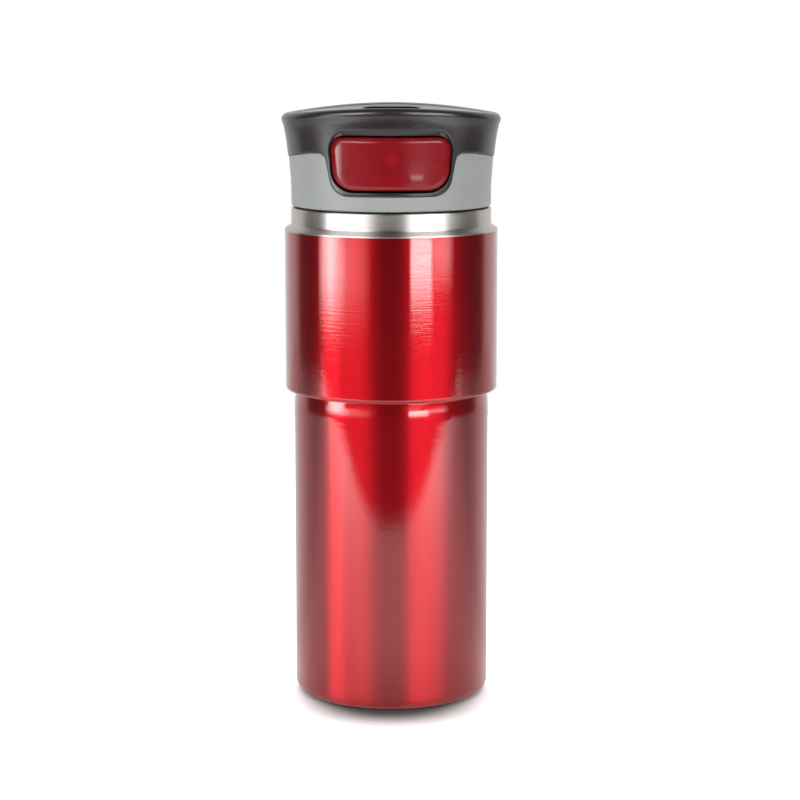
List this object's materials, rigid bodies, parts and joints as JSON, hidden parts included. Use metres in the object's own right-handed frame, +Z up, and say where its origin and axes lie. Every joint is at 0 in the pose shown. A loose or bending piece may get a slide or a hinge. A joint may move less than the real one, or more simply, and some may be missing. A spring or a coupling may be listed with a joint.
{
  "type": "insulated travel mug",
  "caption": "Slim double-walled steel travel mug with a wider upper body and a screw-on lid whose sprung front button opens the spout.",
  "frame": {"origin": "centre of the base, on the surface that the mug stands on", "axes": "+Z up along the mug's axis, -Y towards the button, +Y towards the drinking slot, +X to the right seen from the button's side"},
  "size_m": [0.0768, 0.0768, 0.2096],
  "materials": {
    "red_paint": "translucent red lacquer over brushed steel, high gloss",
    "brushed_steel": "brushed around the axis",
    "getter_metal": "matte",
    "solder_glass": "fused",
    "smoke_plastic": "satin charcoal",
    "grey_band": "soft-touch, matte",
    "red_button": "high gloss, faintly translucent",
    "inner_plastic": "moulded polypropylene",
    "silicone": "soft, translucent grey",
    "spring_steel": "drawn wire"
  },
  "bodies": {
    "cup": {"outer_shell": "red_paint", "neck_shell": "brushed_steel", "inner_liner": "brushed_steel", "vacuum_base": "brushed_steel", "sealing_bead": "solder_glass", "getter_pellet": "getter_metal", "base_cover": "brushed_steel"},
    "gasket": {"lid_gasket": "silicone"},
    "lid": {"lid_shell": "smoke_plastic", "grip_band": "grey_band", "top_deck": "smoke_plastic", "threaded_skirt": "inner_plastic", "frame_seal": "silicone", "valve_frame": "inner_plastic", "pivot_pin": "spring_steel", "button_spring": "spring_steel", "shutter_spring": "spring_steel"},
    "button": {"push_button": "red_button", "trigger_slide": "inner_plastic"},
    "shutter": {"shutter_arm": "inner_plastic", "spout_seal": "silicone", "vent_seal": "silicone"}
  },
  "joints": [
    {"name": "lid_rise", "type": "slide", "parent": "cup", "child": "gasket", "axis": [0, 0, 1], "range_m": [0, 0.024]},
    {"name": "lid_turn", "type": "hinge", "parent": "gasket", "child": "lid", "pos_m": [0, 0, 0.17], "axis": [0, 0, 1], "range_deg": [0, 1080]},
    {"name": "button_press", "type": "slide", "parent": "lid", "child": "button", "axis": [0, 1, 0], "range_m": [0, 0.004], "stiffness_N_per_m": 1200, "springref_m": -0.002, "deforming": ["button_spring"]},
    {"name": "shutter_tilt", "type": "hinge", "parent": "lid", "child": "shutter", "pos_m": [0, -0.003, 0.1965], "axis": [1, 0, 0], "range_deg": [-11, 0], "deforming": ["shutter_spring"]}
  ],
  "couplings": [
    {"joint": "lid_rise", "follows": "lid_turn", "m_per_rad": 0.0012732},
    {"joint": "shutter_tilt", "follows": "button_press", "rad_per_m": -47.997}
  ]
}
